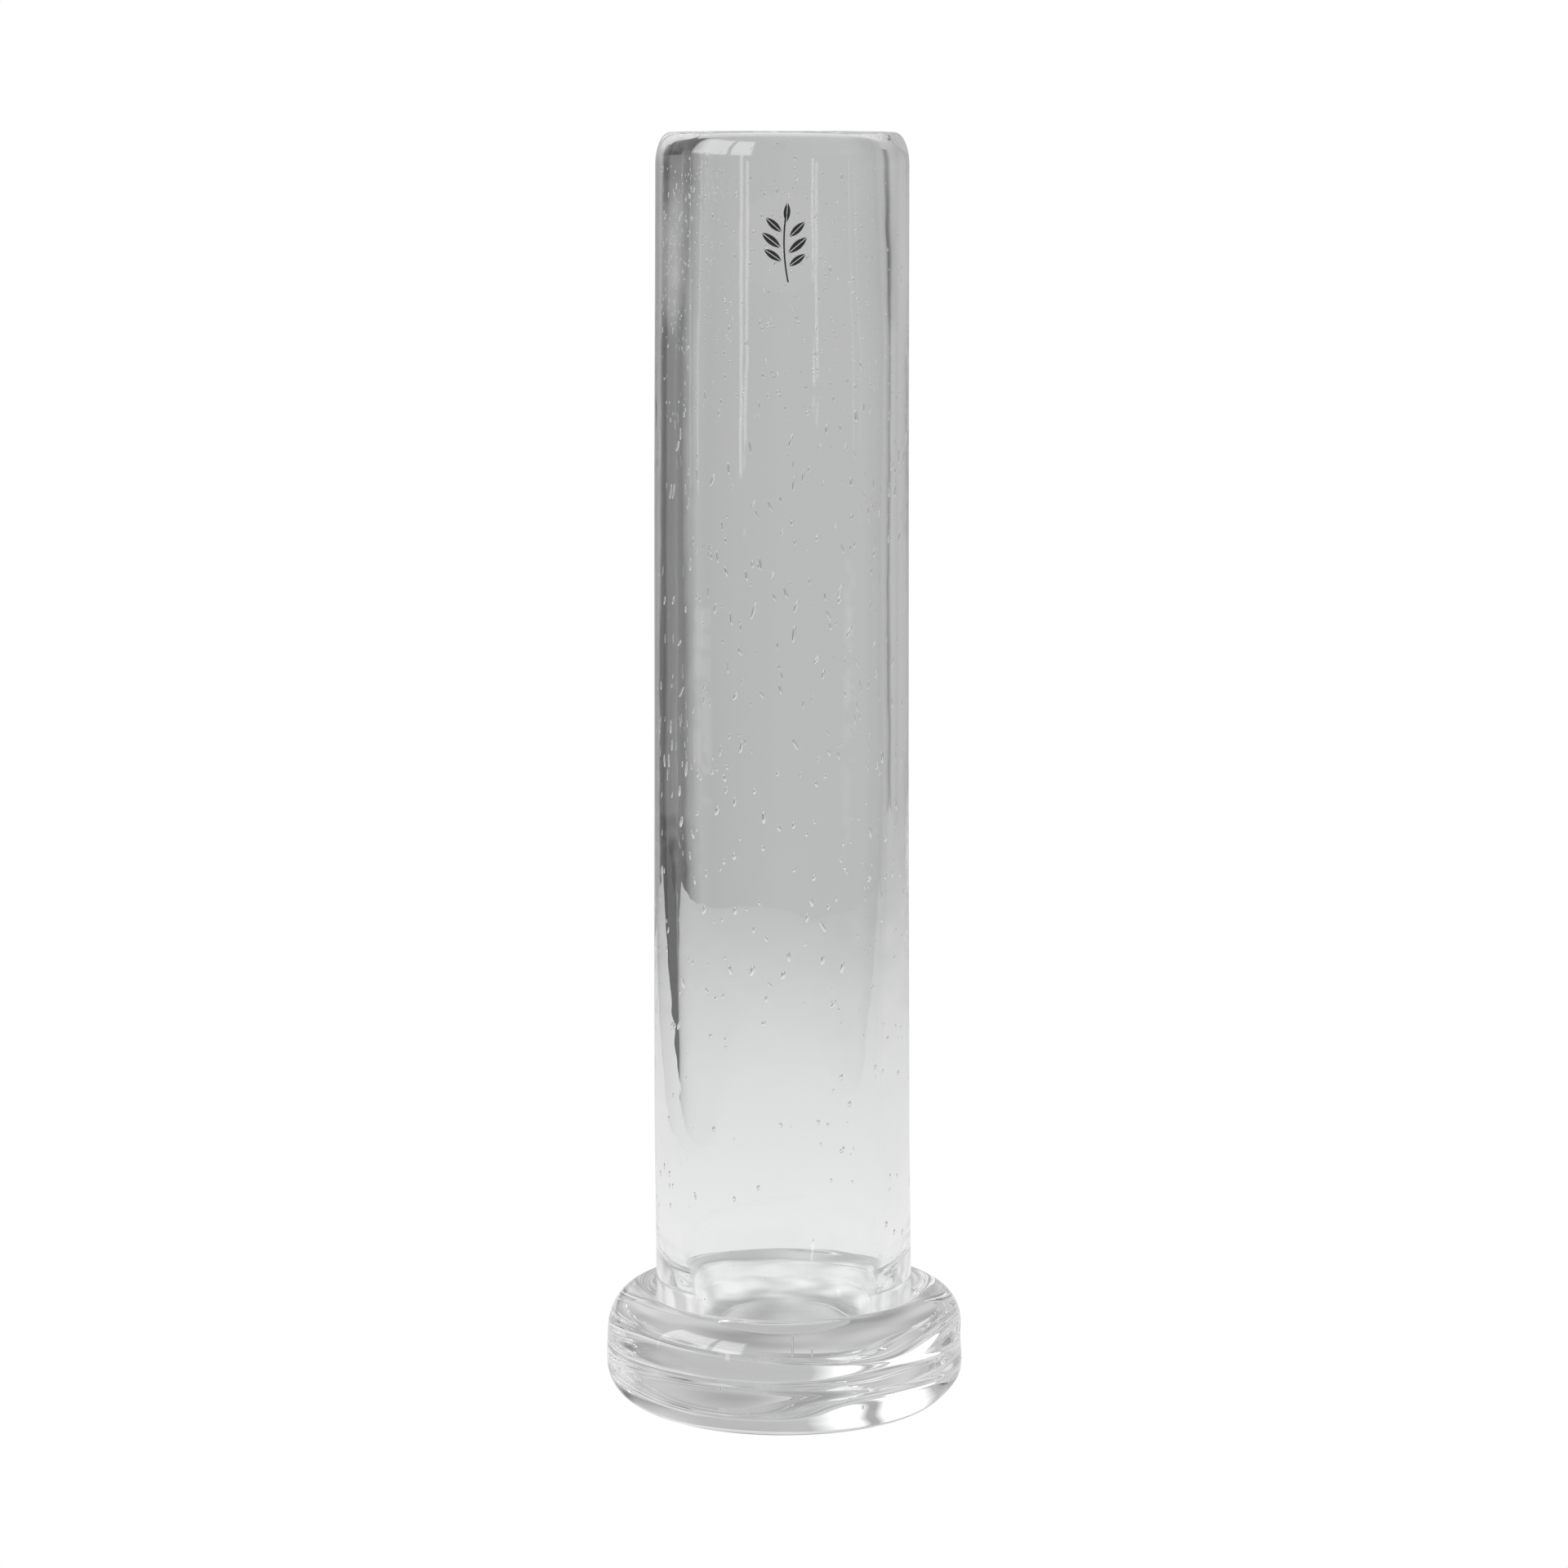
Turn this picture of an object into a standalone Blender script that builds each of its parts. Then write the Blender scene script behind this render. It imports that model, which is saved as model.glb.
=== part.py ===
"""Glass bud vase: a thick-walled blown tube on a solid round foot, with a clear round label.

Metres, +Z up. The origin is at the centre of the foot's underside, and the label faces -Y.
"""

import math

import bpy

# Whole vase
TOTAL_HEIGHT = 0.2300
JOINT_GAP = 0.0003  # between pieces that touch on the real vase

# Blown tube: it widens a little from the rim to the foot, and its closed end is sunk into the foot
TUBE_RIM_RADIUS = 0.02245
TUBE_BASE_RADIUS = 0.02325
JOINT_Z = 0.0196  # where the outer wall meets the foot
TUBE_END_DEPTH = 0.0120  # of the rounded end, below the joint
BORE_SHARE = 0.81  # bore radius over outer radius, down to where the bore narrows
NARROWING_Z = 0.0285
NARROWING_SLOPE = 0.16  # loss of bore radius per length, below there
CAVITY_FLOOR_Z = 0.0130
CAVITY_CORNER = 0.0030
RIM_OUTER_WIDTH = 0.0027  # the fire-polished rim is rounder outside than inside
RIM_OUTER_HEIGHT = 0.0058
RIM_INNER_WIDTH = 0.0013
RIM_INNER_HEIGHT = 0.0026

# Foot: a solid puck with a low shoulder round the tube and a polished dimple underneath
FOOT_RADIUS = 0.0323
FOOT_CREST_RADIUS = 0.0264
FOOT_CREST_Z = 0.0213
FOOT_TOP_CORNER_HEIGHT = 0.0076
FOOT_BOTTOM_CORNER_WIDTH = 0.0084
FOOT_BOTTOM_CORNER_HEIGHT = 0.0090
DIMPLE_RADIUS = 0.0100
DIMPLE_DEPTH = 0.0012

# Label: a round film that follows the front of the tube
LABEL_CENTRE_Z = 0.2110
LABEL_RADIUS = 0.0085
LABEL_THICKNESS = 0.0003
LABEL_RING_REACH = 1.5  # half height of the ring it is cut from, over its own radius

# Facets
TURN_STEPS = 56
LABEL_TURN_STEPS = 112
CORNER_POINTS = 6
END_POINTS = 10
CUTTER_SIDES = 40
MERGE_DISTANCE = 0.00001


def make_collection(name):
    collection = bpy.data.collections.new(name)
    bpy.context.scene.collection.children.link(collection)
    return collection


def make_material(name, color, roughness, transmission):
    material = bpy.data.materials.new(name)
    material.use_nodes = True
    shader = material.node_tree.nodes["Principled BSDF"]
    shader.inputs["Base Color"].default_value = (*color, 1.0)
    shader.inputs["Roughness"].default_value = roughness
    shader.inputs["Metallic"].default_value = 0.0
    shader.inputs["Transmission Weight"].default_value = transmission
    shader.inputs["IOR"].default_value = 1.5
    return material


def tube_radius(z):
    """The tube's outer radius at a height."""
    rise = (z - JOINT_Z) / (TOTAL_HEIGHT - JOINT_Z)
    return TUBE_BASE_RADIUS + (TUBE_RIM_RADIUS - TUBE_BASE_RADIUS) * rise


def corner(centre, width, height, start, end, count=CORNER_POINTS):
    """Points on an elliptical corner round centre, from one angle to another in degrees."""
    points = []
    for i in range(count + 1):
        angle = math.radians(start + (end - start) * i / count)
        points.append((centre[0] + width * math.cos(angle), centre[1] + height * math.sin(angle)))
    return points


def tube_profile():
    """From the cavity's floor up the bore, over the rim, down the outer wall and in under the end."""
    corner_z = CAVITY_FLOOR_Z + CAVITY_CORNER
    bore = BORE_SHARE * tube_radius(NARROWING_Z)
    low_bore = bore - NARROWING_SLOPE * (NARROWING_Z - corner_z)
    inner_z = TOTAL_HEIGHT - RIM_INNER_HEIGHT
    bore_at_rim = BORE_SHARE * tube_radius(inner_z)
    outer_z = TOTAL_HEIGHT - RIM_OUTER_HEIGHT
    outer_at_rim = tube_radius(outer_z)

    points = [(0.0, CAVITY_FLOOR_Z)]
    points += corner((low_bore - CAVITY_CORNER, corner_z), CAVITY_CORNER, CAVITY_CORNER, -90, 0)
    points.append((bore, NARROWING_Z))
    rim_inner = (bore_at_rim + RIM_INNER_WIDTH, inner_z)
    points += corner(rim_inner, RIM_INNER_WIDTH, RIM_INNER_HEIGHT, 180, 90)
    rim_outer = (outer_at_rim - RIM_OUTER_WIDTH, outer_z)
    points += corner(rim_outer, RIM_OUTER_WIDTH, RIM_OUTER_HEIGHT, 90, 0)
    points += corner((0.0, JOINT_Z), TUBE_BASE_RADIUS, TUBE_END_DEPTH, 0, -90, END_POINTS)[:-1]
    points.append((0.0, JOINT_Z - TUBE_END_DEPTH))
    return points


def foot_profile():
    """From the seat under the tube over the shoulder, down the side and under to the axis."""
    seat_radius = TUBE_BASE_RADIUS + JOINT_GAP
    seat_depth = TUBE_END_DEPTH + JOINT_GAP
    shoulder_width = FOOT_CREST_RADIUS - seat_radius
    shoulder_height = FOOT_CREST_Z - JOINT_Z
    top_corner_width = FOOT_RADIUS - FOOT_CREST_RADIUS
    top_corner = (FOOT_CREST_RADIUS, FOOT_CREST_Z - FOOT_TOP_CORNER_HEIGHT)
    bottom_corner = (FOOT_RADIUS - FOOT_BOTTOM_CORNER_WIDTH, FOOT_BOTTOM_CORNER_HEIGHT)

    points = [(0.0, JOINT_Z - seat_depth)]
    points += corner((0.0, JOINT_Z), seat_radius, seat_depth, -90, 0, END_POINTS)[1:-1]
    points += corner((FOOT_CREST_RADIUS, JOINT_Z), shoulder_width, shoulder_height, 180, 90)
    points += corner(top_corner, top_corner_width, FOOT_TOP_CORNER_HEIGHT, 90, 0)[1:]
    points += corner(bottom_corner, FOOT_BOTTOM_CORNER_WIDTH, FOOT_BOTTOM_CORNER_HEIGHT, 0, -90)
    points += corner((0.0, 0.0), DIMPLE_RADIUS, DIMPLE_DEPTH, 0, 90)[:-1]
    points.append((0.0, DIMPLE_DEPTH))
    return points


def turned(name, points, closed, steps, material, collection):
    """A profile in the XZ plane, turned about Z by a Screw modifier."""
    count = len(points)
    edges = [(i, i + 1) for i in range(count - 1)]
    if closed:
        edges.append((count - 1, 0))
    mesh = bpy.data.meshes.new(name)
    mesh.from_pydata([(x, 0.0, z) for x, z in points], edges, [])
    mesh.materials.append(material)
    piece = bpy.data.objects.new(name, mesh)
    collection.objects.link(piece)
    screw = piece.modifiers.new("Turn", "SCREW")
    screw.axis = "Z"
    screw.steps = steps
    screw.render_steps = steps
    screw.use_merge_vertices = True
    screw.merge_threshold = MERGE_DISTANCE
    screw.use_smooth_shade = True
    return piece


def make_label(material, parts, cutters):
    """A thin ring round the tube, kept only inside a cylinder that points to the front."""
    inner = tube_radius(LABEL_CENTRE_Z - LABEL_RADIUS) + JOINT_GAP
    outer = inner + LABEL_THICKNESS
    reach = LABEL_RING_REACH * LABEL_RADIUS
    top = LABEL_CENTRE_Z + reach
    bottom = LABEL_CENTRE_Z - reach
    ring = [(inner, top), (outer, top), (outer, bottom), (inner, bottom)]
    label = turned("label", ring, True, LABEL_TURN_STEPS, material, parts)

    bpy.ops.mesh.primitive_cylinder_add(
        vertices=CUTTER_SIDES,
        radius=LABEL_RADIUS,
        depth=outer,
        location=(0.0, -outer, LABEL_CENTRE_Z),
        rotation=(math.radians(90), 0.0, 0.0),
    )
    cutter = bpy.context.active_object
    cutter.name = "label_cutter"
    for collection in list(cutter.users_collection):
        collection.objects.unlink(cutter)
    cutters.objects.link(cutter)
    cutter.display_type = "WIRE"
    cutter.hide_render = True

    keep = label.modifiers.new("Round outline", "BOOLEAN")
    keep.operation = "INTERSECT"
    keep.solver = "EXACT"
    keep.object = cutter
    return label


def main():
    for old in list(bpy.data.objects):
        bpy.data.objects.remove(old, do_unlink=True)
    parts = make_collection("glass_bud_vase")
    cutters = make_collection("cutters")

    tube_glass = make_material("tube_glass", (0.95, 0.96, 0.96), 0.03, 1.0)
    foot_glass = make_material("foot_glass", (0.94, 0.955, 0.955), 0.02, 1.0)
    label_film = make_material("label_film", (0.86, 0.86, 0.85), 0.25, 0.0)

    turned("vase_tube", tube_profile(), False, TURN_STEPS, tube_glass, parts)
    turned("foot_disc", foot_profile(), False, TURN_STEPS, foot_glass, parts)
    make_label(label_film, parts, cutters)


main()
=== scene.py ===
import math

import bpy
import numpy as np
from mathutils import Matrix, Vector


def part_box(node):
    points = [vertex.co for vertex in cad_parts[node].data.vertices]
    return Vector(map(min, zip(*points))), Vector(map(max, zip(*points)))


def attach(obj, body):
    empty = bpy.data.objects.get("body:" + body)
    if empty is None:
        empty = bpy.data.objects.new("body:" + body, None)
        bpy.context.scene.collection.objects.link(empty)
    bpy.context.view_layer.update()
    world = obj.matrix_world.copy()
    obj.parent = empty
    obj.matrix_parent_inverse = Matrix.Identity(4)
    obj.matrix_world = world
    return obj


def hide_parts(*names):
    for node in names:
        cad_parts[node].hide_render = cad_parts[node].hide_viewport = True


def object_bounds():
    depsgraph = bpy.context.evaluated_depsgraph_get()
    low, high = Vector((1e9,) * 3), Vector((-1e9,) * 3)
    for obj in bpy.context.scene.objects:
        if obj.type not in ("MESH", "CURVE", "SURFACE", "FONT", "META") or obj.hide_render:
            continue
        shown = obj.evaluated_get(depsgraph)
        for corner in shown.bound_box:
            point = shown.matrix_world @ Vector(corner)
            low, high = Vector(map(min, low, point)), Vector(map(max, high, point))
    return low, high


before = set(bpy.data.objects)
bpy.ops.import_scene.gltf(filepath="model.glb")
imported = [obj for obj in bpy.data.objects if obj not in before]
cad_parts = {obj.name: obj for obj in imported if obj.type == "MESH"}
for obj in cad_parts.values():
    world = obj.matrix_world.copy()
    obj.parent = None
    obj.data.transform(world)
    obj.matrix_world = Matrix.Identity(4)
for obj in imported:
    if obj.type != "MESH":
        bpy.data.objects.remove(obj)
cadLow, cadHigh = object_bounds()

tubeLow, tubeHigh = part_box("vase_tube")
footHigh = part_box("foot_disc")[1]
labelLow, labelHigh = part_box("label")
fullTurn = 2 * math.pi


def slowWaves(theta, z, seed, turns, pitch, height):
    # A sum of cosines. Each runs a whole number of times round the axis, up to turns, and repeats along z
    # at about pitch. Half their number is what the sum mostly stays within, so it is scaled to height.
    waveCount = 8
    shortest, longest = 0.6, 1.8  # a wave's own pitch over the given one
    draw = np.random.default_rng(seed)
    total = 0.0
    for _ in range(waveCount):
        around = draw.integers(0, turns + 1)
        along = draw.choice([-1, 1]) * fullTurn / (pitch * draw.uniform(shortest, longest))
        total = total + np.cos(around * theta + along * z + draw.uniform(0, fullTurn))
    return height * total / (waveCount / 2)


def arc(centre, width, height, start, end, count):
    # Points on an ellipse round centre, between two angles in degrees.
    angle = np.radians(np.linspace(start, end, count))
    return np.stack([centre[0] + width * np.cos(angle), centre[1] + height * np.sin(angle)], axis=1)


def line(start, end, count):
    # Evenly spaced points from start to end, without the two ends.
    share = np.linspace(0, 1, count + 2)[1:-1, None]
    return np.array(start) * (1 - share) + np.array(end) * share


def turnedGrid(profile, columns):
    # Every profile point (r, z) carried round the axis: r, theta and z as rows by columns.
    theta = np.linspace(0, fullTurn, columns, endpoint=False)
    r = np.repeat(profile[:, :1], columns, axis=1)
    z = np.repeat(profile[:, 1:], columns, axis=1)
    return r, np.repeat(theta[None, :], len(profile), axis=0), z


def closedFaces(rows, columns):
    # Quads between rows, and a fan of triangles to a pole before the first row and after the last one.
    i, j = np.meshgrid(np.arange(rows - 1), np.arange(columns), indexing="ij")
    k = (j + 1) % columns
    quads = np.stack([i * columns + j, (i + 1) * columns + j, (i + 1) * columns + k, i * columns + k], -1)
    j = np.arange(columns)
    k = (j + 1) % columns
    first, last = rows * columns, rows * columns + 1
    startFan = np.stack([np.full(columns, first), j, k], -1)
    end = (rows - 1) * columns
    endFan = np.stack([end + j, np.full(columns, last), end + k], -1)
    return quads.reshape(-1, 4), startFan, endFan


def makePiece(name, points, faces, slots, materials):
    # A mesh object at the origin, its place in its mesh, shaded smooth.
    mesh = bpy.data.meshes.new(name)
    mesh.from_pydata(points.tolist(), [], faces)
    mesh.polygons.foreach_set("material_index", slots)
    mesh.polygons.foreach_set("use_smooth", np.ones(len(faces), dtype=bool))
    for material in materials:
        mesh.materials.append(material)
    mesh.update()
    piece = bpy.data.objects.new(name, mesh)
    bpy.context.scene.collection.objects.link(piece)
    return piece


bubble = {
    "across": 8,  # faces round it
    "down": 6,  # faces from end to end
    "thickness": 0.6,  # towards the axis, over its width
}


def bubbles(firstIndex, centres, halfLengths, halfWidths, tilts):
    # Gas trapped in glass. Each bubble is a ball, flattened towards the axis and stretched along a
    # direction that tilts sideways from upright. Its faces look into the bubble, away from the glass.
    across, down = bubble["across"], bubble["down"]
    phi = np.linspace(0, fullTurn, across, endpoint=False)
    psi = np.pi * np.arange(1, down) / down
    ringX = np.sin(psi)[:, None] * np.cos(phi)[None, :]
    ringY = np.sin(psi)[:, None] * np.sin(phi)[None, :]
    ringZ = np.cos(psi)[:, None] * np.ones(across)[None, :]
    ball = np.concatenate([np.stack([ringX, ringY, ringZ], -1).reshape(-1, 3), [[0, 0, 1], [0, 0, -1]]])
    angle = np.arctan2(centres[:, 1], centres[:, 0])
    outward = np.stack([np.cos(angle), np.sin(angle), 0 * angle], -1)
    sideways = np.stack([-np.sin(angle), np.cos(angle), 0 * angle], -1)
    upward = np.tile([0.0, 0.0, 1.0], (len(centres), 1))
    cosTilt, sinTilt = np.cos(tilts)[:, None], np.sin(tilts)[:, None]
    lengthwise = halfLengths[:, None] * (upward * cosTilt + sideways * sinTilt)
    crosswise = halfWidths[:, None] * (sideways * cosTilt - upward * sinTilt)
    outward = bubble["thickness"] * halfWidths[:, None] * outward
    points = (centres[:, None, :] + ball[None, :, 2:3] * lengthwise[:, None, :]
              + ball[None, :, 0:1] * outward[:, None, :] + ball[None, :, 1:2] * crosswise[:, None, :])
    quads, startFan, endFan = closedFaces(down - 1, across)
    offsets = firstIndex + np.arange(len(centres)) * len(ball)
    allQuads = (quads[:, ::-1][None] + offsets[:, None, None]).reshape(-1, 4)
    fans = np.concatenate([startFan, endFan])[:, ::-1]
    allFans = (fans[None] + offsets[:, None, None]).reshape(-1, 3)
    return points.reshape(-1, 3), allQuads.tolist() + allFans.tolist()


def newGroup(name, inputs, outputs):
    # An empty shader group: inputs are names with their first values, outputs are names with their kinds.
    group = bpy.data.node_groups.new(name, "ShaderNodeTree")
    for socketName, value in inputs.items():
        kind = "NodeSocketVector" if isinstance(value, tuple) else "NodeSocketFloat"
        socket = group.interface.new_socket(socketName, in_out="INPUT", socket_type=kind)
        socket.default_value = value
    for socketName, kind in outputs.items():
        group.interface.new_socket(socketName, in_out="OUTPUT", socket_type=kind)
    return group, group.nodes.new("NodeGroupInput"), group.nodes.new("NodeGroupOutput")


def calculate(tree, operation, *values):
    # A Math node whose inputs are numbers or other nodes' outputs.
    node = tree.nodes.new("ShaderNodeMath")
    node.operation = operation
    for index, value in enumerate(values):
        if isinstance(value, (int, float)):
            node.inputs[index].default_value = value
        else:
            tree.links.new(value, node.inputs[index])
    return node.outputs[0]


def ramp(tree, value, fromMin, fromMax, toMin=0.0, toMax=1.0, eased=False):
    # A value mapped from one range to another, and held at the ends.
    node = tree.nodes.new("ShaderNodeMapRange")
    if eased:
        node.interpolation_type = "SMOOTHSTEP"
    node.inputs["From Min"].default_value = fromMin
    node.inputs["From Max"].default_value = fromMax
    node.inputs["To Min"].default_value = toMin
    node.inputs["To Max"].default_value = toMax
    tree.links.new(value, node.inputs["Value"])
    return node.outputs["Result"]


def noise(tree, vector, scale, detail):
    # Soft noise round a half, with scale features to the metre.
    node = tree.nodes.new("ShaderNodeTexNoise")
    node.inputs["Detail"].default_value = detail
    if isinstance(scale, (int, float)):
        node.inputs["Scale"].default_value = scale
    else:
        tree.links.new(scale, node.inputs["Scale"])
    tree.links.new(vector, node.inputs["Vector"])
    return node.outputs["Fac"]


def glassSurface():
    # Fire-polished glass: noise drawn out along the axis, for the lines of drawing, plus an even noise,
    # for soft ripples. Each is multiplied by its height in metres, and their sum bends the normal.
    group, given, result = newGroup(
        "glassSurface",
        {"Line Scale": 220.0, "Line Height": 0.00001, "Ripple Scale": 90.0, "Ripple Height": 0.00001},
        {"Normal": "NodeSocketVector"})
    place = group.nodes.new("ShaderNodeTexCoord").outputs["Object"]
    stretch = group.nodes.new("ShaderNodeMapping")
    stretch.inputs["Scale"].default_value = (1.0, 1.0, 0.05)  # lines twenty times as long as wide
    group.links.new(place, stretch.inputs["Vector"])
    lines = noise(group, stretch.outputs["Vector"], given.outputs["Line Scale"], 2.0)
    ripples = noise(group, place, given.outputs["Ripple Scale"], 1.0)
    lines = calculate(group, "MULTIPLY", lines, given.outputs["Line Height"])
    ripples = calculate(group, "MULTIPLY", ripples, given.outputs["Ripple Height"])
    bump = group.nodes.new("ShaderNodeBump")
    bump.inputs["Strength"].default_value = 1.0
    bump.inputs["Distance"].default_value = 1.0
    group.links.new(calculate(group, "ADD", lines, ripples), bump.inputs["Height"])
    group.links.new(bump.outputs["Normal"], result.inputs["Normal"])
    return group


def glassMaterial(name, group, look):
    # Clear glass with no roughness, as it left the flame, and the group's normal.
    material = bpy.data.materials.new(name)
    material.use_nodes = True
    tree = material.node_tree
    shader = tree.nodes["Principled BSDF"]
    shader.inputs["Base Color"].default_value = (*look["color"], 1.0)
    shader.inputs["Roughness"].default_value = 0.0
    shader.inputs["IOR"].default_value = look["ior"]
    shader.inputs["Transmission Weight"].default_value = 1.0
    surface = tree.nodes.new("ShaderNodeGroup")
    surface.node_tree = group
    for socketName, value in look["surface"].items():
        surface.inputs[socketName].default_value = value
    tree.links.new(surface.outputs["Normal"], shader.inputs["Normal"])
    return material


def joinMaterial():
    # The two faces where tube and foot are melted together let light pass without bending it.
    material = bpy.data.materials.new("meltedJoin")
    material.use_nodes = True
    tree = material.node_tree
    tree.nodes.clear()
    clear = tree.nodes.new("ShaderNodeBsdfTransparent")
    out = tree.nodes.new("ShaderNodeOutputMaterial")
    tree.links.new(clear.outputs["BSDF"], out.inputs["Surface"])
    return material


surfaceGroup = glassSurface()
meltedJoin = joinMaterial()

tube = {
    "columns": 240,
    "points": {"floor": 10, "corner": 14, "narrowing": 34, "bore": 50, "rimInner": 12, "rimTop": 2,
               "rimOuter": 20, "wall": 60, "end": 14},
    "endDepth": 0.0120,  # of the rounded end that is sunk into the foot
    "rimShare": 0.9656,  # outer radius at the rim over that at the foot
    "boreShare": 0.805,  # bore radius over outer radius
    "bulge": 0.035,  # added to that share half way up
    "bulgeHeights": (0.22, 0.50, 0.82, 0.97),  # where the bulge starts, is full, is still full and ends
    "floorLift": 0.0054,  # cavity floor above the sunk end
    "floorCorner": 0.0055,
    "narrowingLift": 0.0209,  # where the bore starts to narrow, above the sunk end
    "narrowingSlope": 0.16,
    "narrowingBend": 0.0030,
    "rimOuter": (0.0027, 0.0058),  # width and height of the rounding
    "rimInner": (0.0013, 0.0026),
    "offset": -0.0003,  # of the axis from the foot's, towards +X
    "bow": -0.00015,  # added to that half way up
    "outerWave": {"seed": 3, "turns": 5, "pitch": 0.11, "height": 0.00004},
    "boreWave": {"seed": 8, "turns": 6, "pitch": 0.09, "height": 0.00004},
    "waveRise": 0.03,  # height above the joint over which the waves, offset and bow grow
    "waveReach": 0.008,  # radius out to which the waves grow from the axis
    "wallBlend": 0.04,  # share of the radius over which one side's waves give way to the other's
    "rimWave": 0.00012,
    "rimDepth": 0.02,  # how far down the rim's wave reaches
    "rimTurn": 0.7,  # radians by which its two highs are turned
    "glass": {
        "color": (0.985, 0.988, 0.988),
        "ior": 1.5,
        "surface": {"Line Scale": 420.0, "Line Height": 0.000006, "Ripple Scale": 120.0,
                    "Ripple Height": 0.00005},
    },
}
jointZ = tubeLow.z + tube["endDepth"]  # where the outer wall meets the foot
tubeGlass = glassMaterial("tubeGlass", surfaceGroup, tube["glass"])


def smooth(share):
    # Three times the square of the share less twice its cube, held at 0 and 1.
    share = np.clip(share, 0, 1)
    return share * share * (3 - 2 * share)


def tubeRadius(z):
    # A straight taper from the joint up to the rim.
    share = (z - jointZ) / (tubeHigh.z - jointZ)
    return tubeHigh.x * (1 + (tube["rimShare"] - 1) * share)


def boreRadius(z):
    # A share of the outer radius that grows half way up, less a straight slope below the narrowing with
    # a rounded bend, which is half the sum of the depth below it and the root of that depth squared plus
    # the bend squared.
    start, full, stillFull, end = tube["bulgeHeights"]
    height = z / cadHigh.z
    rise = smooth((height - start) / (full - start))
    fall = smooth((end - height) / (end - stillFull))
    bulge = tube["bulge"] * rise * fall
    below = tubeLow.z + tube["narrowingLift"] - z
    lost = tube["narrowingSlope"] * (below + np.sqrt(below ** 2 + tube["narrowingBend"] ** 2)) / 2
    return (tube["boreShare"] + bulge) * tubeRadius(z) - lost


def sunkEnd():
    # The rounded end from the outer wall to the axis, without the last point on the axis.
    return arc((0.0, jointZ), tubeHigh.x, tube["endDepth"], 0, -90, tube["points"]["end"])[1:-1]


def tubeProfile():
    # Out along the cavity floor, up the bore, over the rim, down the outer wall and in under the end.
    count = tube["points"]
    floorZ = tubeLow.z + tube["floorLift"]
    corner = tube["floorCorner"]
    cornerZ = floorZ + corner
    innerW, innerH = tube["rimInner"]
    outerW, outerH = tube["rimOuter"]
    bendTop = tubeLow.z + tube["narrowingLift"] + 3 * tube["narrowingBend"]
    rimZ = tubeHigh.z - innerH
    outerZ = tubeHigh.z - outerH
    floorArc = arc((boreRadius(cornerZ) - corner, cornerZ), corner, corner, -90, 0, count["corner"])
    narrowing = np.linspace(cornerZ, bendTop, count["narrowing"])[1:]
    boreZ = np.concatenate([narrowing, np.linspace(bendTop, rimZ, count["bore"])[1:-1]])
    bore = np.stack([boreRadius(boreZ), boreZ], 1)
    innerArc = arc((boreRadius(rimZ) + innerW, rimZ), innerW, innerH, 180, 90, count["rimInner"])
    outerArc = arc((tubeRadius(outerZ) - outerW, outerZ), outerW, outerH, 90, 0, count["rimOuter"])
    joint = np.array([[tubeHigh.x, jointZ]])
    skin = [line((0.0, floorZ), floorArc[0], count["floor"]), floorArc, bore, innerArc,
            line(innerArc[-1], outerArc[0], count["rimTop"]), outerArc,
            line(outerArc[-1], joint[0], count["wall"]), joint]
    return np.concatenate(skin), sunkEnd(), floorZ


def shapeTube(r, theta, z):
    # Outer wall and bore each get their own slow waves, the axis is moved and bowed by half a sine wave
    # along the tube, and the rim is lowered by 1 plus a cosine of twice the direction. All of it fades
    # out towards the joint.
    held = np.clip((z - jointZ) / tube["waveRise"], 0, 1)
    middle = (tubeRadius(z) + boreRadius(z)) / 2
    boreSide = np.clip((middle - r) / (tube["wallBlend"] * tubeRadius(z)) + 0.5, 0, 1)
    outer = slowWaves(theta, z, **tube["outerWave"])
    bore = slowWaves(theta, z, **tube["boreWave"])
    reach = np.clip(r / tube["waveReach"], 0, 1)
    r = r + held * reach * (outer * (1 - boreSide) + bore * boreSide)
    share = np.clip((z - jointZ) / (tubeHigh.z - jointZ), 0, 1)
    sideways = held * (tube["offset"] + tube["bow"] * np.sin(np.pi * share))
    nearRim = np.clip((z - tubeHigh.z + tube["rimDepth"]) / tube["rimDepth"], 0, 1) ** 2
    z = z - nearRim * tube["rimWave"] * (1 + np.cos(theta * 2 + tube["rimTurn"]))
    return np.stack([r * np.cos(theta) + sideways, r * np.sin(theta), z], -1)


seeds = {
    "seed": 11,
    "bands": [
        # lowest and highest place as shares of the height, count, half width range, length over width
        (0.78, 0.975, 560, (0.00011, 0.00029), (1.0, 2.6)),
        (0.50, 0.80, 300, (0.00014, 0.00036), (2.2, 5.5)),
        (0.30, 0.52, 140, (0.00020, 0.00048), (1.4, 3.0)),
        (0.14, 0.32, 55, (0.00016, 0.00044), (1.1, 2.0)),
        (0.08, 0.15, 12, (0.00008, 0.00018), (1.0, 1.6)),
    ],
    "clusters": [
        # direction in degrees, height as a share, spread both ways in metres, count
        (-131, 0.955, 0.0032, 90),
        (-150, 0.90, 0.0045, 60),
        (-66, 0.93, 0.0030, 20),
    ],
    "clusterWidth": (0.00010, 0.00020),
    "clusterStretch": (1.0, 1.8),
    "favourSmall": 1.5,  # power of the even draw that sets a width; above 1, more of them are small
    "twist": 0.22,  # mean tilt from upright, all the same way round
    "tiltSpread": 0.20,
    "gap": 0.0002,
    "wallMargin": 0.0004,
    "rimMargin": 0.004,
}


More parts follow.
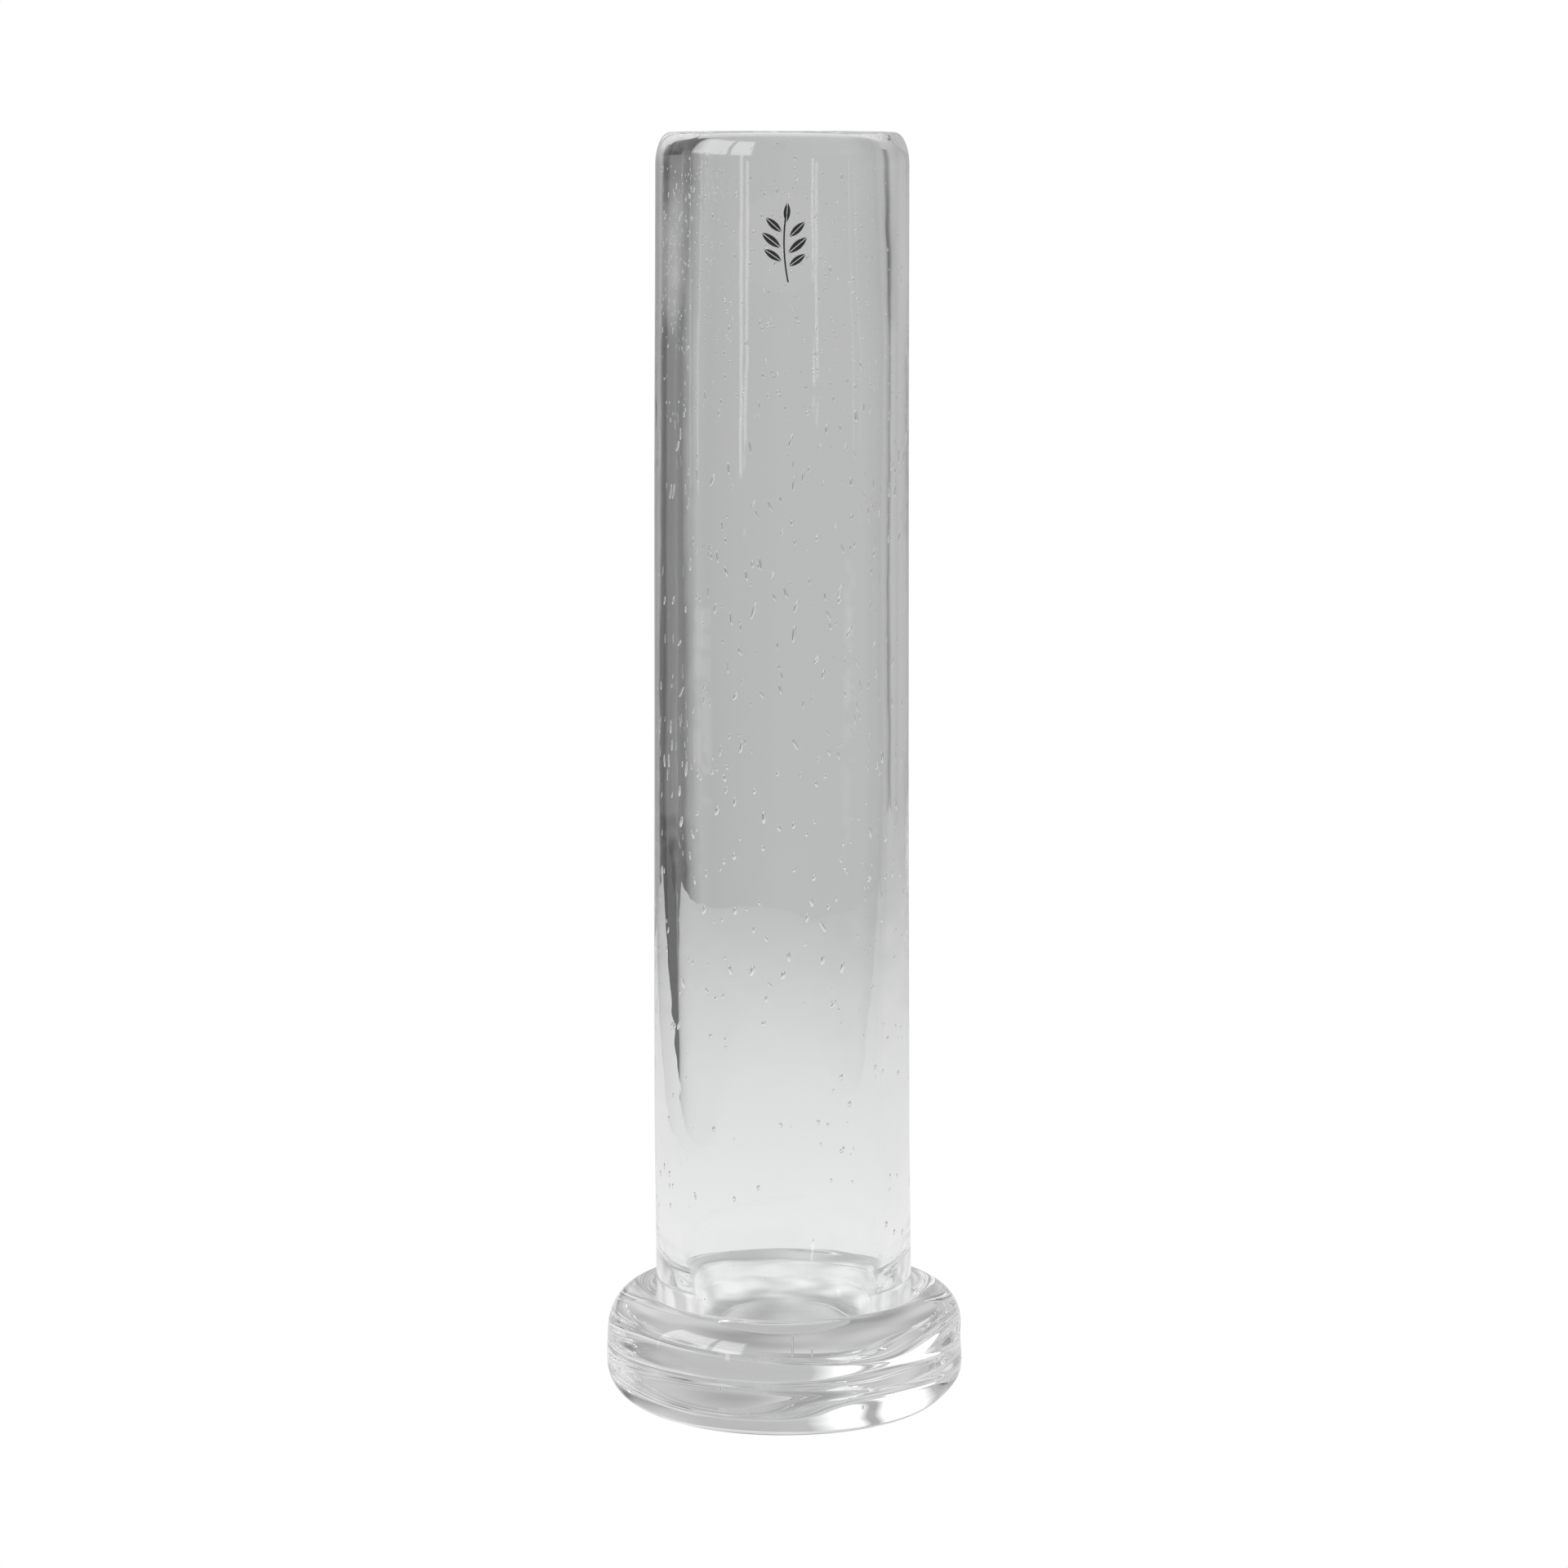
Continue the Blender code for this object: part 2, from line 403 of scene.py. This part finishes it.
def tubeSeeds(firstIndex):
    # Seeds are drawn band by band, then cluster by cluster, each at an even draw of depth in the wall.
    # One that comes nearer to an earlier one than their half lengths and the gap is dropped.
    draw = np.random.default_rng(seeds["seed"])
    height = tubeHigh.z - cadLow.z
    z, theta, width, length = [], [], [], []
    for low, high, count, widths, stretch in seeds["bands"]:
        z.append(cadLow.z + height * draw.uniform(low, high, count))
        theta.append(draw.uniform(0, fullTurn, count))
        even = draw.uniform(0, 1, count)
        width.append(widths[0] + (widths[1] - widths[0]) * even ** seeds["favourSmall"])
        length.append(width[-1] * draw.uniform(*stretch, count))
    for direction, share, spread, count in seeds["clusters"]:
        z.append(cadLow.z + height * share + draw.normal(0, spread, count))
        theta.append(math.radians(direction) + draw.normal(0, spread / tubeHigh.x, count))
        width.append(draw.uniform(*seeds["clusterWidth"], count))
        length.append(width[-1] * draw.uniform(*seeds["clusterStretch"], count))
    z = np.minimum(np.concatenate(z), tubeHigh.z - seeds["rimMargin"])
    theta = np.concatenate(theta)
    width = np.concatenate(width)
    length = np.concatenate(length)
    outer = tubeRadius(z) - width - seeds["wallMargin"]
    inner = boreRadius(z) + width + seeds["wallMargin"]
    r = inner + (outer - inner) * draw.uniform(0, 1, len(z))
    tilt = draw.normal(seeds["twist"], seeds["tiltSpread"], len(z))
    centres = np.stack([r * np.cos(theta), r * np.sin(theta), z], -1)
    apart = np.linalg.norm(centres[:, None] - centres[None], axis=-1)
    tooNear = apart < length[:, None] + length[None] + seeds["gap"]
    kept = ~np.any(np.tril(tooNear, -1), axis=1)
    print("seeds in the tube:", kept.sum())
    return bubbles(firstIndex, centres[kept], length[kept], width[kept], tilt[kept])


def makeTube():
    # The profile is carried round the axis, shaped and closed at its poles, and the seeds go inside the
    # glass. Slot 1 is the sunk end, where light passes straight into the foot.
    outside, under, floorZ = tubeProfile()
    profile = np.concatenate([outside, under])
    r, theta, z = turnedGrid(profile, tube["columns"])
    skin = shapeTube(r, theta, z).reshape(-1, 3)
    poles = np.array([[0.0, 0.0, floorZ], [0.0, 0.0, tubeLow.z]])
    quads, startFan, endFan = closedFaces(len(profile), tube["columns"])
    quadSlots = (np.arange(len(quads)) // tube["columns"] >= len(outside) - 1).astype(np.int32)
    seedPoints, seedFaces = tubeSeeds(len(skin) + 2)
    points = np.concatenate([skin, poles, seedPoints])
    faces = quads.tolist() + startFan.tolist() + endFan.tolist() + seedFaces
    slots = np.concatenate([quadSlots, np.zeros(len(startFan), np.int32), np.ones(len(endFan), np.int32),
                            np.zeros(len(seedFaces), np.int32)])
    piece = makePiece("blownTube", points, faces, slots, [tubeGlass, meltedJoin])
    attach(piece, "root")
    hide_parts("vase_tube")
    print("tube:", len(points), "points")


foot = {
    "columns": 288,
    "points": {"shoulder": 14, "topCorner": 28, "side": 10, "bottomCorner": 30, "under": 16, "dimple": 16},
    "crestRadius": 0.0264,
    "topCorner": 0.0076,  # height of the rounding above the side
    "bottomCorner": (0.0084, 0.0090),
    "dimple": (0.0100, 0.0012),  # radius and height
    "spread": 0.0002,  # added all round, so the waves stay about the true width
    "slowWave": {"seed": 55, "turns": 3, "pitch": 0.03, "height": 0.00040},
    "fineWave": {"seed": 77, "turns": 11, "pitch": 0.02, "height": 0.000015},
    "waveRise": 0.004,  # distance from the seat and from the table over which the waves grow
    "twist": 90.0,  # radians of turn per metre of height, as the tool dragged the glass round
    "bubbles": [
        # direction in degrees, radius, height, half length, half width
        (-87.0, 0.0270, 0.0165, 0.0022, 0.00022),
        (-80.0, 0.0268, 0.0155, 0.0009, 0.00016),
        (-62.0, 0.0285, 0.0060, 0.0004, 0.00022),
        (-112.0, 0.0280, 0.0090, 0.0003, 0.00026),
    ],
    "glass": {
        "color": (0.985, 0.988, 0.988),
        "ior": 1.5,
        "surface": {"Line Scale": 150.0, "Line Height": 0.000003, "Ripple Scale": 60.0,
                    "Ripple Height": 0.00002},
    },
}
footGlass = glassMaterial("footGlass", surfaceGroup, foot["glass"])


def footProfile():
    # Out along the seat, up a quarter sine wave over the shoulder, down the side, in under the foot and
    # up into the dimple.
    count = foot["points"]
    crest = foot["crestRadius"]
    bottomW, bottomH = foot["bottomCorner"]
    dimpleR, dimpleH = foot["dimple"]
    topH = foot["topCorner"]
    share = np.linspace(0, 1, count["shoulder"])[:-1]
    shoulder = np.stack([tubeHigh.x + (crest - tubeHigh.x) * share,
                         jointZ + (footHigh.z - jointZ) * np.sin(share * np.pi / 2)], 1)
    topArc = arc((crest, footHigh.z - topH), footHigh.x - crest, topH, 90, 0, count["topCorner"])
    lowArc = arc((footHigh.x - bottomW, bottomH), bottomW, bottomH, 0, -90, count["bottomCorner"])
    dish = arc((0.0, 0.0), dimpleR, dimpleH, 0, 88, count["dimple"])  # its pole closes the last 2 degrees
    outside = [shoulder, topArc, line(topArc[-1], lowArc[0], count["side"]), lowArc,
               line(lowArc[-1], dish[0], count["under"]), dish]
    return sunkEnd()[::-1], np.concatenate(outside)


def makeFoot():
    # The profile is carried round the axis, and its radius grows by the spread and by waves of r plus z
    # and of a direction that turns with height. They fade out at the seat and at the table. Slot 1 is
    # the seat, where light passes straight into the tube.
    seat, outside = footProfile()
    profile = np.concatenate([seat, outside])
    r, theta, z = turnedGrid(profile, foot["columns"])
    held = np.clip((r - tubeHigh.x) / foot["waveRise"], 0, 1) * np.clip(z / foot["waveRise"], 0, 1)
    turned = theta + foot["twist"] * z
    slow = slowWaves(turned, r + z, **foot["slowWave"])
    fine = slowWaves(turned, r + z, **foot["fineWave"])
    r = r + held * (slow + fine + foot["spread"])
    skin = np.stack([r * np.cos(theta), r * np.sin(theta), z], -1).reshape(-1, 3)
    poles = np.array([[0.0, 0.0, tubeLow.z], [0.0, 0.0, foot["dimple"][1]]])
    quads, startFan, endFan = closedFaces(len(profile), foot["columns"])
    quadSlots = (np.arange(len(quads)) // foot["columns"] < len(seat)).astype(np.int32)
    direction, radius, height, length, width = np.array(foot["bubbles"]).T
    direction = np.radians(direction)
    centres = np.stack([radius * np.cos(direction), radius * np.sin(direction), height], -1)
    bubblePoints, bubbleFaces = bubbles(len(skin) + 2, centres, length, width, 0 * length)
    points = np.concatenate([skin, poles, bubblePoints])
    faces = quads.tolist() + startFan.tolist() + endFan.tolist() + bubbleFaces
    slots = np.concatenate([quadSlots, np.ones(len(startFan), np.int32), np.zeros(len(endFan), np.int32),
                            np.zeros(len(bubbleFaces), np.int32)])
    piece = makePiece("pressedFoot", points, faces, slots, [footGlass, meltedJoin])
    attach(piece, "root")
    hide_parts("foot_disc")
    print("foot:", len(points), "points")


label = {
    "rings": 24,
    "columns": 96,
    "thickness": 0.0001,
    "film": (0.86, 0.86, 0.85),
    "filmAlpha": 0.015,
    "ink": (0.012, 0.012, 0.013),
    "inkAlpha": 0.97,
    "roughness": 0.22,
    "stem": (0.030, 0.014, 0.34),  # bow, half width and half height, over the label's width
    "stemDrop": 0.06,  # of the stem's middle below the label's
    "stemEdge": (0.5, 0.8),  # shares of the half width between which the ink ends
    "leafEdge": 0.08,  # how far inside a leaf's outline the ink is full, over its half width
    "midrib": (0.05, 0.12),  # clear up to the first share of the half width, ink from the second
    "leaves": [
        # centre across and up, turn from upright in degrees, half length and half width
        (0.030, 0.300, -4, 0.105, 0.036),
        (-0.105, 0.175, 48, 0.115, 0.040),
        (0.135, 0.130, -46, 0.115, 0.040),
        (-0.130, 0.020, 52, 0.130, 0.045),
        (0.140, -0.030, -50, 0.130, 0.045),
        (-0.115, -0.130, 56, 0.115, 0.040),
        (0.135, -0.180, -54, 0.110, 0.038),
    ],
}


def sprigPrint():
    # A sprig: a stem that bows with the square of the height, and leaves whose half width falls off with
    # the square of the way along, each with a clear midrib. The group puts out 1 where there is ink.
    group, given, result = newGroup("sprigPrint", {"Vector": (0.0, 0.0, 0.0)}, {"Ink": "NodeSocketFloat"})
    bow, halfWidth, halfHeight = label["stem"]
    split = group.nodes.new("ShaderNodeSeparateXYZ")
    group.links.new(given.outputs["Vector"], split.inputs["Vector"])
    across, up = split.outputs["X"], split.outputs["Y"]
    bowed = calculate(group, "MULTIPLY", calculate(group, "MULTIPLY", up, up), bow / halfHeight ** 2)
    off = calculate(group, "ABSOLUTE", calculate(group, "SUBTRACT", across, bowed))
    solid, clear = label["stemEdge"]
    thin = ramp(group, off, halfWidth * solid, halfWidth * clear, 1.0, 0.0)
    along = calculate(group, "ABSOLUTE", calculate(group, "ADD", up, label["stemDrop"]))
    ended = ramp(group, along, halfHeight, halfHeight * 1.03, 1.0, 0.0)  # a soft end, 3 hundredths long
    ink = calculate(group, "MULTIPLY", thin, ended)
    for x, y, turn, halfLength, leafWidth in label["leaves"]:
        place = group.nodes.new("ShaderNodeMapping")
        place.vector_type = "TEXTURE"
        place.inputs["Location"].default_value = (x, y, 0.0)
        place.inputs["Rotation"].default_value = (0.0, 0.0, math.radians(turn))
        place.inputs["Scale"].default_value = (leafWidth, halfLength, 1.0)
        group.links.new(given.outputs["Vector"], place.inputs["Vector"])
        own = group.nodes.new("ShaderNodeSeparateXYZ")
        group.links.new(place.outputs["Vector"], own.inputs["Vector"])
        side = calculate(group, "ABSOLUTE", own.outputs["X"])
        outline = calculate(group, "SUBTRACT", 1.0, calculate(group, "POWER", own.outputs["Y"], 2.0))
        inside = ramp(group, calculate(group, "SUBTRACT", outline, side), 0.0, label["leafEdge"])
        rib = ramp(group, side, *label["midrib"])
        leaf = calculate(group, "MULTIPLY", inside, rib)
        ink = calculate(group, "MAXIMUM", ink, leaf)
    group.links.new(ink, result.inputs["Ink"])
    return group


def filmMaterial():
    # A nearly clear film where there is no print, and covering ink where there is.
    material = bpy.data.materials.new("printedFilm")
    material.use_nodes = True
    tree = material.node_tree
    shader = tree.nodes["Principled BSDF"]
    shader.inputs["Roughness"].default_value = label["roughness"]
    flat = tree.nodes.new("ShaderNodeUVMap")
    flat.uv_map = "flat"
    mark = tree.nodes.new("ShaderNodeGroup")
    mark.node_tree = sprigPrint()
    tree.links.new(flat.outputs["UV"], mark.inputs["Vector"])
    tint = tree.nodes.new("ShaderNodeMix")
    tint.data_type = "RGBA"
    tint.inputs[6].default_value = (*label["film"], 1.0)
    tint.inputs[7].default_value = (*label["ink"], 1.0)
    tree.links.new(mark.outputs["Ink"], tint.inputs["Factor"])
    tree.links.new(tint.outputs[2], shader.inputs["Base Color"])
    cover = ramp(tree, mark.outputs["Ink"], 0.0, 1.0, label["filmAlpha"], label["inkAlpha"])
    tree.links.new(cover, shader.inputs["Alpha"])
    return material


def makeLabel():
    # A round film bent round the tube: distance from its middle and direction give a place on the flat
    # film, and the distance across is carried along an arc about the tube's axis.
    rings, columns = label["rings"], label["columns"]
    radius = (labelHigh.z - labelLow.z) / 2
    middleZ = (labelHigh.z + labelLow.z) / 2
    front = -labelLow.y
    out = np.arange(1, rings + 1) / rings
    share = np.concatenate([out, out[::-1]])[:, None]
    depth = np.concatenate([np.zeros(rings), np.full(rings, label["thickness"])])[:, None]
    phi = np.linspace(0, fullTurn, columns, endpoint=False)[None, :]
    across = share * np.cos(phi)
    up = share * np.sin(phi)
    bend = radius * across / front
    behind = front - depth
    skin = np.stack([behind * np.sin(bend), -behind * np.cos(bend), middleZ + radius * up], -1)
    poles = np.array([[0.0, -front, middleZ], [0.0, -front + label["thickness"], middleZ]])
    quads, startFan, endFan = closedFaces(2 * rings, columns)
    faces = quads.tolist() + startFan.tolist() + endFan.tolist()
    points = np.concatenate([skin.reshape(-1, 3), poles])
    piece = makePiece("sprigLabel", points, faces, np.zeros(len(faces), np.int32), [filmMaterial()])
    flat = np.concatenate([np.stack([across, up], -1).reshape(-1, 2) / 2, np.zeros((2, 2))])
    corners = np.empty(len(piece.data.loops), dtype=np.int32)
    piece.data.loops.foreach_get("vertex_index", corners)
    layer = piece.data.uv_layers.new(name="flat")
    layer.data.foreach_set("uv", flat[corners].ravel())
    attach(piece, "root")
    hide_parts("label")
    print("label:", len(points), "points")


room = {
    "table": (-0.240, 0.60, -0.70, 0.480),  # left, right, near and far edge
    "paintedTableLight": [
        # distance from the vase, painted brightness in the glass: painted shade under the foot, and
        # painted light round it that falls off towards the wall
        (0.0, 0.46), (0.022, 0.48), (0.029, 0.56), (0.038, 0.78), (0.08, 0.84),
        (0.128, 0.84), (0.286, 0.73), (0.388, 0.61), (0.480, 0.52),
    ],
    "paintedCaustics": 60.0,  # scale of the noise for the painted caustics and painted shade under and round the foot
    "paintedCausticsNoise": (0.38, 0.62),  # the noise between which the painted light goes from dark to light
    "paintedCausticsTone": (0.70, 1.30),
    "paintedCausticsFade": (0.03, 0.07),  # distances over which they fade
    "pool": (-0.018, -0.012, 0.015, 1.0),  # light gathered by the foot: place, radius and change
    "poolCore": 0.3,  # share of the radius that is full
    "wall": 0.50,
    "patches": [
        # azimuth from, to and softness in degrees, where 0 is straight behind and 90 to the right;
        # rise from, to and softness as the sine of the height angle; change in brightness
        (-34, -16, 5, -1.0, 0.04, 0.04, -0.42),
        (-64, -34, 6, -1.0, 0.04, 0.04, -0.26),
        (-12, -4, 4, -1.0, 0.04, 0.04, -0.05),
        (-46, -10, 4, 0.14, 0.65, 0.04, 0.80),
        (-25, -20, 1.5, 0.14, 0.65, 0.04, -0.9),
        (-75, -14, 4, -1.0, -0.165, 0.01, -0.15),
        (48, 56, 3, -1.0, 0.25, 0.10, -0.25),
        (-144.5, -141.5, 0.6, -0.062, 0.25, 0.004, 3.0),
        (-90, -88, 0.5, -0.07, 0.25, 0.004, 1.2),
        (-104, -93, 1.5, -0.109, -0.097, 0.003, 0.8),
        (-104, -93, 1.5, -0.130, -0.117, 0.003, 0.8),
        (-104, -93, 1.5, -0.152, -0.145, 0.003, 0.6),
        (40, 110, 8, 0.05, 0.70, 0.06, -0.25),
        (-85, -56, 6, 0.05, 0.70, 0.06, -0.22),
        (95, 150, 3, 0.25, 0.80, 0.05, 0.2),
        (-180, 180, 1, 0.80, 2.0, 0.15, 0.15),
    ],
    "window": [
        # the same, for a window in front to the left and the bar across it
        (-152, -88, 1.5, 0.25, 0.70, 0.03, 5.0),
        (-131, -127, 0.6, 0.25, 0.70, 0.03, -5.0),
    ],
    "windowDeep": (3.5, 4.5, 0.1),  # between these counts of bounces the window dims to the third number
    "darkest": 0.02,
}


def band(tree, value, low, high, soft):
    # 1 between low and high, 0 outside, with soft edges.
    up = ramp(tree, value, low - soft, low + soft)
    down = ramp(tree, value, high - soft, high + soft, 1.0, 0.0)
    return calculate(tree, "MULTIPLY", up, down)


def addPatches(tree, azimuth, rise, patches, total):
    # Total plus, for each patch, its change times its band of azimuth times its band of rise.
    for low, high, soft, riseLow, riseHigh, riseSoft, change in patches:
        sideways = band(tree, azimuth, math.radians(low), math.radians(high), math.radians(soft))
        here = calculate(tree, "MULTIPLY", sideways, band(tree, rise, riseLow, riseHigh, riseSoft))
        total = calculate(tree, "ADD", total, calculate(tree, "MULTIPLY", here, change))
    return total


def tableMaterial():
    # The camera sees a plain white table. The glass sees a glow of painted light and shade that goes by
    # distance from the vase's axis, multiplied by the sum of painted caustics and painted shade from
    # noise, which level out with distance, and a painted pool of light, which falls off from its middle.
    material = bpy.data.materials.new("tablePaintedLight")
    material.use_nodes = True
    tree = material.node_tree
    nodes, links = tree.nodes, tree.links
    nodes.clear()
    place = nodes.new("ShaderNodeTexCoord")
    far = nodes.new("ShaderNodeVectorMath")
    far.operation = "LENGTH"
    links.new(place.outputs["Object"], far.inputs[0])
    reach = room["paintedTableLight"][-1][0]
    # painted shade under the foot and painted light that falls off with distance, as a ramp over the
    # distance from the axis
    paintedLightRamp = nodes.new("ShaderNodeValToRGB")
    stops = paintedLightRamp.color_ramp.elements
    while len(stops) < len(room["paintedTableLight"]):
        stops.new(0.5)
    for stop, (distance, value) in zip(stops, room["paintedTableLight"]):
        stop.position = distance / reach
        stop.color = (value, value, value, 1.0)
    links.new(calculate(tree, "DIVIDE", far.outputs["Value"], reach), paintedLightRamp.inputs["Fac"])
    # painted caustics and painted shade: noise that brightens and darkens the glow near the foot, levelled
    # out with distance
    spread = noise(tree, place.outputs["Object"], room["paintedCaustics"], 1.0)
    spread = ramp(tree, spread, *room["paintedCausticsNoise"], *room["paintedCausticsTone"])
    fade = ramp(tree, far.outputs["Value"], *room["paintedCausticsFade"])
    levelling = calculate(tree, "MULTIPLY", fade, calculate(tree, "SUBTRACT", 1.0, spread))
    paintedCaustics = calculate(tree, "ADD", spread, levelling)
    # a painted pool of light, standing in for the light the foot gathers onto the table
    poolX, poolY, poolRadius, poolChange = room["pool"]
    away = nodes.new("ShaderNodeVectorMath")
    away.operation = "DISTANCE"
    away.inputs[1].default_value = (poolX, poolY, 0.0)
    links.new(place.outputs["Object"], away.inputs[0])
    poolCore = poolRadius * room["poolCore"]
    pool = ramp(tree, away.outputs["Value"], poolCore, poolRadius, poolChange, 0.0, eased=True)
    paintedCaustics = calculate(tree, "ADD", paintedCaustics, pool)
    # the glass sees this glow: the table's painted light and shade, though the table is no lamp
    inGlass = nodes.new("ShaderNodeEmission")
    links.new(paintedLightRamp.outputs["Color"], inGlass.inputs["Color"])
    links.new(paintedCaustics, inGlass.inputs["Strength"])
    white = nodes.new("ShaderNodeEmission")
    either = nodes.new("ShaderNodeMixShader")
    links.new(nodes.new("ShaderNodeLightPath").outputs["Is Camera Ray"], either.inputs["Fac"])
    links.new(inGlass.outputs["Emission"], either.inputs[1])
    links.new(white.outputs["Emission"], either.inputs[2])
    links.new(either.outputs["Shader"], nodes.new("ShaderNodeOutputMaterial").inputs["Surface"])
    return material


def makeTable():
    # One flat face at the height of the foot's underside.
    left, right, near, far = room["table"]
    corners = np.array([[left, near, 0.0], [right, near, 0.0], [right, far, 0.0], [left, far, 0.0]])
    table = makePiece("table", corners, [[0, 1, 2, 3]], np.zeros(1, np.int32), [tableMaterial()])


def makeRoom():
    # The camera sees white round the vase. The glass sees a grey wall plus its darker and lighter patches,
    # plus a window that dims for light that has bounced about in the glass.
    world = bpy.data.worlds.new("room")
    bpy.context.scene.world = world
    world.use_nodes = True
    tree = world.node_tree
    nodes, links = tree.nodes, tree.links
    nodes.clear()
    place = nodes.new("ShaderNodeTexCoord")
    split = nodes.new("ShaderNodeSeparateXYZ")
    links.new(place.outputs["Generated"], split.inputs["Vector"])
    azimuth = calculate(tree, "ARCTAN2", split.outputs["X"], split.outputs["Y"])
    wall = addPatches(tree, azimuth, split.outputs["Z"], room["patches"], room["wall"])
    window = addPatches(tree, azimuth, split.outputs["Z"], room["window"], 0.0)
    path = nodes.new("ShaderNodeLightPath")
    shallow, deep, share = room["windowDeep"]
    seen = ramp(tree, path.outputs["Ray Depth"], shallow, deep, 1.0, share)
    total = calculate(tree, "ADD", wall, calculate(tree, "MULTIPLY", window, seen))
    total = calculate(tree, "MAXIMUM", total, room["darkest"])
    inGlass = nodes.new("ShaderNodeBackground")
    links.new(total, inGlass.inputs["Color"])
    white = nodes.new("ShaderNodeBackground")
    white.inputs["Color"].default_value = (1.0, 1.0, 1.0, 1.0)
    either = nodes.new("ShaderNodeMixShader")
    links.new(path.outputs["Is Camera Ray"], either.inputs["Fac"])
    links.new(inGlass.outputs["Background"], either.inputs[1])
    links.new(white.outputs["Background"], either.inputs[2])
    links.new(either.outputs["Shader"], nodes.new("ShaderNodeOutputWorld").inputs["Surface"])


softTop = {
    "width": 0.8,
    "watts": 9.0,
    "place": (0.1, -0.2, 1.2),
    "tilt": (10, 5),  # degrees about X and Y
}


def makeLamp():
    # A soft disc overhead. It lights the printed film; the glass is lit by the room alone.
    data = bpy.data.lights.new("softTop", "AREA")
    data.shape = "DISK"
    data.size = softTop["width"]
    data.energy = softTop["watts"]
    lamp = bpy.data.objects.new("softTop", data)
    tiltX, tiltY = softTop["tilt"]
    lamp.location = softTop["place"]
    lamp.rotation_euler = (math.radians(tiltX), math.radians(tiltY), 0)
    lamp.visible_camera = False
    lamp.visible_glossy = False
    lamp.visible_transmission = False
    bpy.context.scene.collection.objects.link(lamp)


view = {
    "lens": 108.2,  # mm, on a sensor 36 mm wide
    "distance": 0.840,  # from the vase's axis
    "lookDown": 7.89,  # degrees below level
}


def makeCamera():
    # Level with the rim, so the rim shows as a line, and turned down towards the middle of the vase.
    data = bpy.data.cameras.new("camera")
    data.sensor_width = 36.0
    data.lens = view["lens"]
    cam = bpy.data.objects.new("camera", data)
    cam.location = (0.0, -view["distance"], cadHigh.z)
    cam.rotation_euler = (math.radians(90 - view["lookDown"]), 0, 0)
    bpy.context.scene.collection.objects.link(cam)
    bpy.context.scene.camera = cam


makeTube()
makeFoot()
makeLabel()
makeTable()
makeRoom()
makeLamp()
makeCamera()
print("room, lamp and camera: done")

glassBounces = 64  # with fewer, light is lost in the rim and it turns dark
joinBounces = 16  # through the film and the join
scene = bpy.context.scene
scene.view_settings.view_transform = "Standard"
scene.cycles.max_bounces = glassBounces
scene.cycles.transmission_bounces = glassBounces
scene.cycles.glossy_bounces = glassBounces
scene.cycles.transparent_max_bounces = joinBounces
scene.cycles.caustics_reflective = False
scene.cycles.caustics_refractive = False
